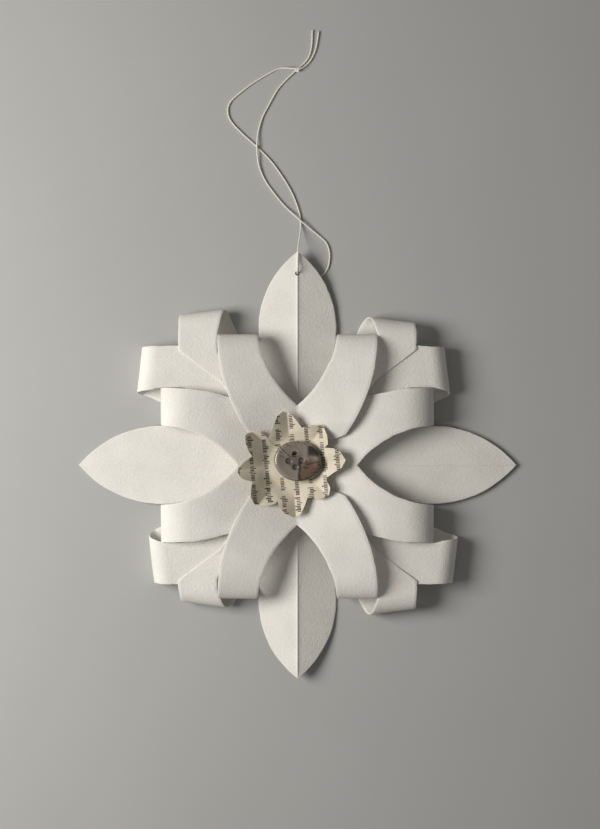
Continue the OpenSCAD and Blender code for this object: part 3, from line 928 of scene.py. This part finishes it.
def thread_knot(materials):
    """An overhand knot: one turned loop of the thread, pulled tight."""
    loop = []
    for i in range(KNOT_STEPS):
        t = 2 * math.pi * i / KNOT_STEPS
        loop.append(Vector(((math.sin(t) + 2 * math.sin(2 * t)) * KNOT_SIZE,
                            (math.cos(t) - 2 * math.cos(2 * t)) * KNOT_SIZE + LEAF_REACH[NORTH_SOUTH],
                            -math.sin(3 * t) * KNOT_SIZE * KNOT_HEIGHT)) + Vector(KNOT_AT))
    bm = bmesh.new()
    rings = twisted_tube(bm, loop + loop[:2], THREAD_D / 2 * KNOT_TIGHT)
    bmesh.ops.delete(bm, geom=[v for ring in rings[-2:] for v in ring], context="VERTS")
    ring_walls(bm, [rings[-3], rings[0]])
    smooth_all_over(bm)
    knot = new_object("knot_of_thread", bm, materials)
    stands_for(knot, "thread_knot")
    return knot


# ---------------------------------------------------------------- strips

FRONT_STEPS = 40
ROLL_STEPS = 22
BACK_STEPS = 22
ACROSS_STEPS = 14
INNER_FRONT_END = 0.985  # the last row before the roll, as a share of the front
INNER_BACK_START = 0.06  # the first row past the roll, as a share of the back
OUTER_BACK_START = 0.04
NEAR_STRAY_INSET = 3     # an inner strip's near cut stops straying this far inside the end of its loop
NEAR_STRAY_FADE = 5
OUTER_NEAR_STRAY = 0.25  # an outer strip's near cut strays less, to keep its gap
ROLL_INSET = 5           # a loop's near edge takes the window's width from here, inside the end
LOOP_NARROWS = [0.1, 0.9]  # how much narrower an inner loop's far edge is halfway down and at its back
OUTER_SEED = 40
LEAN_FROM = 36           # where an outer strip starts to lean


def strip_seed(e, side):
    """Sets the strips' random lines apart from each other."""
    return ENDS.index(e) * 2 + SIDES.index(side) + 1


def stray(u, seed):
    """How far a cut strays sideways at u."""
    return CUT_WOBBLE * (wave(u, 0, seed, 5) + 0.6 * wave(u, 3, seed, 1.3))


def row_across(near, far, u_at, z_at):
    """A row of points across a strip, from its near cut to its far one."""
    return [(u_at(v), v, z_at(v)) for v in steps(near, far, ACROSS_STEPS)]


def inner_strip_grid(e, side):
    """Up the front of an inner strip, round its loop and back to the rolled tip."""
    s, reach, seed = sheet_of(e), INNER_REACH[e], strip_seed(e, side)
    rows = []

    def add(u_at, near, far, z_at, run):
        """run is how far along the strip a row is. The near cut strays only as far as the roll."""
        past_web = ease((run - WEB_REACH) / STRAY_FADE)
        near += stray(run, seed) * past_web * ease((reach - NEAR_STRAY_INSET - run) / NEAR_STRAY_FADE)
        far += stray(run, seed + FAR_SEED) * past_web
        rows.append(row_across(near, far, u_at, z_at))

    for x in steps(0, INNER_FRONT_END, FRONT_STEPS):
        def along(v):
            return mix(WEB_REACH, loop_start(s, reach, v), x)

        u = along(INNER_MIDDLE)
        add(along, window_half(u), inner_edge(s, u), lambda v: front_z(s, reach, along(v), v), u)
    for k in range(ROLL_STEPS + 1):
        t = k / ROLL_STEPS
        a = math.pi / 2 - math.pi * t
        near = mix(window_half(reach - ROLL_INSET), LEAF_HALF_W + CUT_GAP, clamp(2 * t))
        far = INNER_HALF[s] - mix(*LOOP_NARROWS, clamp(2 * t - 1))
        depth = INNER_LOOP_DEPTH[0 if a > 0 else 1]
        if a > 0:
            u = reach - depth * loop_r(s, INNER_MIDDLE) * (1 - math.cos(a))
            near, far = mix(window_half(u), near, 2 * t), inner_edge(s, u)
        add(lambda v: reach - depth * loop_r(s, v) * (1 - math.cos(a)), near, far,
            lambda v: INNER_BOTTOM + loop_r(s, v) * (1 + math.sin(a)), reach + 3 * t)
    for x in steps(INNER_BACK_START, 1, BACK_STEPS):
        u = mix(reach - INNER_LOOP_DEPTH[1] * loop_r(s, INNER_MIDDLE), TIP_REACH, x)
        add(lambda v: u, leaf_half(s, u) + CUT_GAP, inner_back_edge(s, u),
            lambda v: back_z(e, u, INNER_BOTTOM), 2 * reach - u)
    return waved(rows, seed, 0.3)


def outer_strip_grid(e, side):
    """Out along the front of an outer strip, round its loop and back to the rolled tip."""
    s, seed = sheet_of(e), strip_seed(e, side) + OUTER_SEED
    r = (OUTER_LOOP_Z[s] - OUTER_BOTTOM) / 2
    past = OUTER_PAST[e][SIDES.index(side)]
    end = max(INNER_REACH[e], OUTER_HALF + CORNER_ROOM) + past
    start, back_start = (end - depth * r for depth in OUTER_LOOP_DEPTH)
    low, high = OUTER_ROOT_BLEND[s]
    rows = []

    def add(u_at, near, far, z_at, run):
        near += stray(run, seed) * OUTER_NEAR_STRAY
        far += stray(run, seed + FAR_SEED)
        rows.append(row_across(near, far, u_at, z_at))

    for u in steps(OUTER_ROOT, start, FRONT_STEPS + 4):
        add(lambda v: u + lean(v) * ease((u - LEAN_FROM) / (start - LEAN_FROM)),
            outer_front_near(e, u), outer_front_far(e, u),
            lambda v: mix(outer_root_z(e, u, v), OUTER_LOOP_Z[s], ease((u - low) / (high - low))), u)
    for k in range(1, ROLL_STEPS + 1):
        t = k / ROLL_STEPS
        a = math.pi / 2 - math.pi * t
        near = mix(outer_front_near(e, start), outer_back_near(back_start), t)
        far = mix(outer_front_far(e, start), outer_back_far(back_start), t)
        depth = OUTER_LOOP_DEPTH[0 if a > 0 else 1]
        add(lambda v: end + lean(v) - depth * r * (1 - math.cos(a)), near, far,
            lambda v: OUTER_BOTTOM + r * (1 + math.sin(a)), start + 10 * t)
    for x in steps(OUTER_BACK_START, 1, BACK_STEPS):
        u = mix(back_start, TIP_REACH, x)
        add(lambda v: u + lean(v) * clamp(1 - 3 * x), outer_back_near(u), outer_back_far(u),
            lambda v: back_z(e, u, OUTER_BOTTOM), 2 * end - u)
    return [[(p[0], p[1], max(p[2], OUTER_BOTTOM + 0.01)) for p in row]
            for row in waved(rows, seed, 0.4)]


def strips(materials):
    for e in ENDS:
        for side in SIDES:
            for kind, strip_grid in (("inner", inner_strip_grid), ("outer", outer_strip_grid)):
                grid = turn_to_end(e, side, strip_grid(e, side))
                piece = sheet_piece(f"{e}_{kind}_loop_{side}", grid, materials, ("first", "last"))
                stands_for(piece, f"{e}_{kind}_strip_{side}")


# ---------------------------------------------------------------- leaves, tips and middles

LEAF_STEPS = 90
LEAF_CREASE = 0.1      # the gap at the crease between a leaf and its rolled tip
TIP_STEPS = 12
TIP_COLUMNS = 16
TIP_GAP = 0.3
WEB_STEPS = 62
WEB_COLUMNS = 16       # on each side of the sheet's axis
WEB_CROWD = 1.25       # more than 1 brings the columns closer together near the axis
# Columns from the fold out, in millimetres near the bead and then as shares of the rest
LEAF_NEAR_FOLD = [0, 0.11, 0.22, 0.34, 0.5]
LEAF_OUTWARDS = [0.12, 0.26, 0.4, 0.54, 0.68, 0.8, 0.9, 0.96, 1]
FOLD_BEAD = {"north": 0.22, "west": 0.04, "south": 0.22, "east": 0.13}
FOLD_BEAD_HALF = 0.24
FOLD_BEAD_FADE = 3     # the bead ends over this length at the leaf's point
RIDGE_START = 16       # the length over which the ridge rises from the neck
LEAF_SIDE_FALL = 0.03  # how much an east or west leaf falls to its sides
LEAF_CROWD = 1.25      # more than 1 brings the rows closer together near the point
LEAF_FADE = [10, 6]    # waves and strays come in over these lengths from the neck and from the point
LEAF_SEED = 80
LEAF_STRAY = 0.7       # how far a leaf's cuts stray, for CUT_WOBBLE
LEAF_WAVE = 0.25
LEAF_WAVE_LENGTH = 16


def leaf_z(e, u, v):
    reach = LEAF_REACH[sheet_of(e)]
    bead = FOLD_BEAD[e] * math.exp(-(v / FOLD_BEAD_HALF) ** 2) * ease((reach - u) / FOLD_BEAD_FADE)
    if e in RIDGE_FALL:
        return TIP_Z + bead - RIDGE_FALL[e] * abs(v) * ease((u - TIP_REACH) / RIDGE_START)
    return TIP_Z + bead - LEAF_DROOP * (u - TIP_REACH) / (reach - TIP_REACH) - LEAF_SIDE_FALL * abs(v)


def leaf_grid(e):
    """A leaf from its neck to its point, with more columns near its fold."""
    s, seed = sheet_of(e), LEAF_SEED + ENDS.index(e)
    rows = []
    for i in range(LEAF_STEPS + 1):
        t = i / LEAF_STEPS
        u = mix(TIP_REACH + LEAF_CREASE, LEAF_REACH[s], 1 - (1 - t) ** LEAF_CROWD)
        half = leaf_half(s, u)
        fade = ease((u - TIP_REACH) / LEAF_FADE[0]) * ease((LEAF_REACH[s] - u) / LEAF_FADE[1])
        narrow = min(1, half / 2)
        columns = [w * narrow for w in LEAF_NEAR_FOLD]
        columns += [mix(columns[-1], half, share) for share in LEAF_OUTWARDS]
        row = []
        for w in [-w for w in columns[:0:-1]] + columns:
            cut_seed = seed + FAR_SEED if w > 0 else seed
            v = w + stray(u, cut_seed) * LEAF_STRAY * fade * (w / half) ** 2
            row.append((u, v, leaf_z(e, u, w) + LEAF_WAVE * fade * wave(u, v, seed, LEAF_WAVE_LENGTH)))
        rows.append(row)
    return rows


def leaves(materials):
    for e in ENDS:
        piece = sheet_piece(f"{e}_leaf_blade", turn_to_end(e, "left", leaf_grid(e)), materials, ("first",))
        if e == "north":
            carve(piece, round_cutter((0, HOLE_REACH), HOLE_R, 0, 2 * TIP_Z))
        stands_for(piece, f"{e}_leaf", f"{e}_leaf_tongue")


def rolled_tips(materials):
    """The glued tips, four right-angled points that meet under the centre."""
    point_half, base_half = TIP_START - TIP_GAP, outer_back_far(TIP_REACH)
    for e in ENDS:
        rows = []
        for x in steps(0, 1, TIP_STEPS):
            half = mix(point_half, base_half, x)
            rows.append([(mix(TIP_START, TIP_REACH, x), v, TIP_Z) for v in steps(-half, half, TIP_COLUMNS)])
        piece = sheet_piece(f"{e}_glued_tip", turn_to_end(e, "left", rows), materials, ("last",))
        stands_for(piece, f"{e}_rolled_tip")


def middle_half(s, u):
    """Half width at u of a sheet's middle, which has a waist at the centre."""
    u = abs(u)
    if u < WAIST_REACH:
        return WAIST_HALF
    if u < WEB_JOIN:
        return mix(WAIST_HALF, inner_edge(s, WEB_JOIN), ease((u - WAIST_REACH) / (WEB_JOIN - WAIST_REACH)))
    return inner_edge(s, u)


def middle_of_sheet(name, s, ahead, behind, materials):
    """The uncut middle of a sheet, from the strips' start at one end to their start at the other."""
    rows = []
    for u in steps(-WEB_REACH, WEB_REACH, WEB_STEPS):
        reach = INNER_REACH[ahead if u > 0 else behind]
        row = []
        for j in range(-WEB_COLUMNS, WEB_COLUMNS + 1):
            v = middle_half(s, u) * math.copysign(abs(j / WEB_COLUMNS) ** WEB_CROWD, j)
            row.append((u, v, front_z(s, reach, u, abs(v))))
        rows.append(row)
    piece = sheet_piece(name, turn_to_end(ahead, "left", rows), materials, ("first", "last"))
    stands_for(piece, name.replace("_web", "_middle"))


def middles(materials):
    middle_of_sheet("north_south_web", NORTH_SOUTH, "north", "south", materials)
    middle_of_sheet("east_west_web", EAST_WEST, "east", "west", materials)


# ---------------------------------------------------------------- flower, button and glue

FLOWER_AT = (-1.8, 0.1)
FLOWER_FLAT = 7.6
FLOWER_RINGS = 26
FLOWER_AROUND = 480
PETAL_TURN = 5
PETAL_CURL = 0.2
CURL_SEED = 9
CURL_LENGTH = 9
PETAL_SLOPE = 0.495
PETAL_CREASE = 0.3
# Corners of the flower's cut outline, from the east petal's point round by the north
PETAL_CORNERS = [
    (15, 1.6), (13.3, 4.2), (11.1, 5.3), (8.4, 5.5),
    (9.5, 6.6), (9.2, 9.4), (8, 12.2), (6.4, 12.5), (2.3, 12.2), (1.4, 11.6),
    (-0.2, 13.8), (-2, 15.9), (-4.5, 16.8), (-6.3, 15.3), (-7.3, 12.5), (-8.6, 9.4), (-9.2, 8.4),
    (-9.8, 10), (-11.4, 10.6), (-15.2, 10.1), (-16.2, 9.4), (-16.1, 6.9), (-15.2, 4.4), (-14, 2.8),
    (-16.7, 0.9), (-18.3, -0.9), (-18.6, -2.2), (-17.3, -4.1), (-15.8, -4.7), (-14, -5.1),
    (-14.5, -7.5), (-14.5, -10), (-13.3, -12.2), (-9.2, -12.6), (-6.7, -11.9), (-6.3, -10.9),
    (-5.5, -13.1), (-3.9, -15), (-1.1, -16.3), (1.1, -15), (2.3, -12.5), (3.2, -10),
    (6.7, -10.6), (9.8, -9.4), (10.2, -6.9), (9.2, -5), (9.1, -3.9),
    (11.4, -2.2), (13.6, -0.9)]


def petal_edge(a):
    """How far the flower's edge is from its centre in direction a, in degrees."""
    x, y = math.cos(math.radians(a)), math.sin(math.radians(a))
    for p, q in zip(PETAL_CORNERS, PETAL_CORNERS[1:] + PETAL_CORNERS[:1]):
        px, py, qx, qy = p[0] - FLOWER_AT[0], p[1] - FLOWER_AT[1], q[0] - FLOWER_AT[0], q[1] - FLOWER_AT[1]
        before, after = x * py - y * px, x * qy - y * qx
        if before <= 0 < after and x * px + y * py > 0:
            share = before / (before - after)
            return x * mix(px, qx, share) + y * mix(py, qy, share)
    raise ValueError("the outline has to go round the flower's centre")


def flower_point(a, t, edge):
    """The point at a share t of the way to the edge in direction a, on a petal that rises past the flat."""
    r = t * edge
    off = abs(math.sin(math.radians(4 * (a - PETAL_TURN))))
    x, y = r * math.cos(math.radians(a)), r * math.sin(math.radians(a))
    up = max(0, r - FLOWER_FLAT)
    curl = PETAL_CURL * wave(x, y, CURL_SEED, CURL_LENGTH) * ease(up / 4)
    crease = PETAL_CREASE * off * up * ease(up / 3.5)
    return (FLOWER_AT[0] + x, FLOWER_AT[1] + y, FLOWER_Z + PETAL_SLOPE * up + crease + curl)


def page_flower(materials):
    """Eight creased petals, cupped round the button."""
    around = FLOWER_AROUND
    # a hair past each direction, so that none meets a corner exactly
    edges = [petal_edge(i * 360 / around + 0.01) for i in range(around)]
    bm = bmesh.new()
    rim = bm.verts.layers.float.new("rim")
    layers = []
    for lift in (PAGE_T / 2, -PAGE_T / 2):
        centre = bm.verts.new((FLOWER_AT[0] * MM, FLOWER_AT[1] * MM, (FLOWER_Z + lift) * MM))
        layer = [[centre]]
        for k in range(1, FLOWER_RINGS + 1):
            ring = []
            for i in range(around):
                x, y, z = flower_point(i * 360 / around, k / FLOWER_RINGS, edges[i])
                vert = bm.verts.new((x * MM, y * MM, (z + lift) * MM))
                vert[rim] = 1.0 if k == FLOWER_RINGS else 0.0
                ring.append(vert)
            layer.append(ring)
        layers.append(layer)
    for layer in layers:
        for i in range(around):
            bm.faces.new((layer[0][0], layer[1][i], layer[1][(i + 1) % around]))
            for a, b in zip(layer[1:], layer[2:]):
                bm.faces.new((a[i], b[i], b[(i + 1) % around], a[(i + 1) % around]))
    for i in range(around):
        j = (i + 1) % around
        face = bm.faces.new((layers[0][-1][i], layers[1][-1][i], layers[1][-1][j], layers[0][-1][j]))
        face.material_index = 1
    sharp_at_cuts(bm)
    piece = new_object("flower_of_petals", bm, materials)
    stands_for(piece, "page_flower")


BUTTON_T = 2.3
BUTTON_FACE_Z = 1.62
BUTTON_SIDES = 96
BUTTON_HOLE_R = 0.75
BUTTON_HOLE_FLARE = 0.3
BUTTON_HOLE_TURN = 10
# Section of the button from its middle over the rim to its back: share of the radius, and height
BUTTON_SECTION = [(0, BUTTON_FACE_Z), (0.3, BUTTON_FACE_Z), (0.45, 1.68), (0.6, 1.86), (0.72, 2.08),
                  (0.8, 2.24), (0.86, BUTTON_T), (0.92, 2.22), (0.96, 2.0), (0.99, 1.6), (1, 1.2),
                  (0.99, 0.75), (0.96, 0.35), (0.92, 0.1), (0.86, 0.0), (0.5, 0.0), (0, 0.0)]


def button(materials):
    """An oval button with a rounded rim, a dished face and four holes."""
    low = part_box("button")[0].z / MM
    section = [(p.x, p.y) for p in smooth_curve([(r, z, 0) for r, z in BUTTON_SECTION], 4)]
    section = [(clamp(r), min(max(z, 0), BUTTON_T)) for r, z in section]
    bm = bmesh.new()

    def vert(x, y, z):
        x, y = turned(x, y, BUTTON_TURN)
        return bm.verts.new(((x + BUTTON_CENTRE[0]) * MM, (y + BUTTON_CENTRE[1]) * MM, (z + low) * MM))

    angles = [2 * math.pi * k / BUTTON_SIDES for k in range(BUTTON_SIDES)]
    rings = [[vert(r * BUTTON_LONG / 2 * math.cos(a), r * BUTTON_SHORT / 2 * math.sin(a), z) for a in angles]
             for r, z in section[1:-1]]
    ring_walls(bm, rings)
    for ring, z in ((rings[0], section[0][1]), (rings[-1], 0)):
        centre = vert(0, 0, z)
        for a, b in zip(ring, ring[1:] + ring[:1]):
            bm.faces.new((centre, a, b))
    smooth_all_over(bm)
    piece = new_object("four_hole_button", bm, materials)
    for k in range(4):
        a = math.radians(90 * k + BUTTON_HOLE_TURN)
        x, y = turned(HOLE_RING_SHIFT + HOLE_RING * math.cos(a), HOLE_RING * math.sin(a), BUTTON_TURN)
        carve(piece, round_cutter((x + BUTTON_CENTRE[0], y + BUTTON_CENTRE[1]), BUTTON_HOLE_R, low - 1,
                                  low + BUTTON_FACE_Z + 0.1, BUTTON_HOLE_FLARE))
    stands_for(piece, "button")


DAB_SIDES = 72
DAB_UNEVEN = 0.12


def dab_of_glue(name, node, seed, materials):
    """A dab that was pressed flat: a wavy outline and a rounded edge."""
    low, high = (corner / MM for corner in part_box(node))
    radius, thick = (high.x - low.x) / 2, high.z - low.z
    bm = bmesh.new()
    rings = []
    section = [(0.5, high.z), (0.86, high.z), (0.95, high.z - 0.12 * thick), (0.985, high.z - 0.3 * thick),
               (0.97, low.z + 0.5 * thick), (0.985, low.z + 0.3 * thick), (0.95, low.z + 0.12 * thick),
               (0.86, low.z), (0.5, low.z)]
    for r, z in section:
        ring = []
        for k in range(DAB_SIDES):
            a = 2 * math.pi * k / DAB_SIDES
            x, y = math.cos(a), math.sin(a)
            reach = radius * r * (1 - DAB_UNEVEN * clamp(0.5 + wave(3 * x, 3 * y, seed, 1.6)) * r)
            ring.append(bm.verts.new((reach * x * MM, reach * y * MM, z * MM)))
        rings.append(ring)
    ring_walls(bm, rings)
    bm.faces.new(rings[0])
    bm.faces.new(rings[-1][::-1])
    smooth_all_over(bm)
    piece = new_object(name, bm, materials)
    stands_for(piece, node)


def glue_dabs(materials):
    for seed, node in enumerate(["glue_behind_middle", "glue_between_sheets", "glue_under_flower",
                                 "glue_under_button"]):
        dab_of_glue(node.replace("glue", "dab"), node, seed + 1, materials)


# ---------------------------------------------------------------- the star

straight_down_camera()
thread_material = [cotton_thread()]
knot = thread_knot(thread_material)
thread_strand("strand_in_front", FRONT_ROUTE, "thread_front", thread_material)
thread_strand("strand_behind", BACK_ROUTE, "thread_back", thread_material)
window_light()
room_light()
pale_table()
paper_materials = [white_paper(), cut_paper_edge()]
strips(paper_materials)
leaves(paper_materials)
rolled_tips(paper_materials)
middles(paper_materials)
page_flower([printed_page(), cut_page_edge()])
button([horn_button()])
glue_dabs([dried_glue()])

bpy.context.view_layer.update()
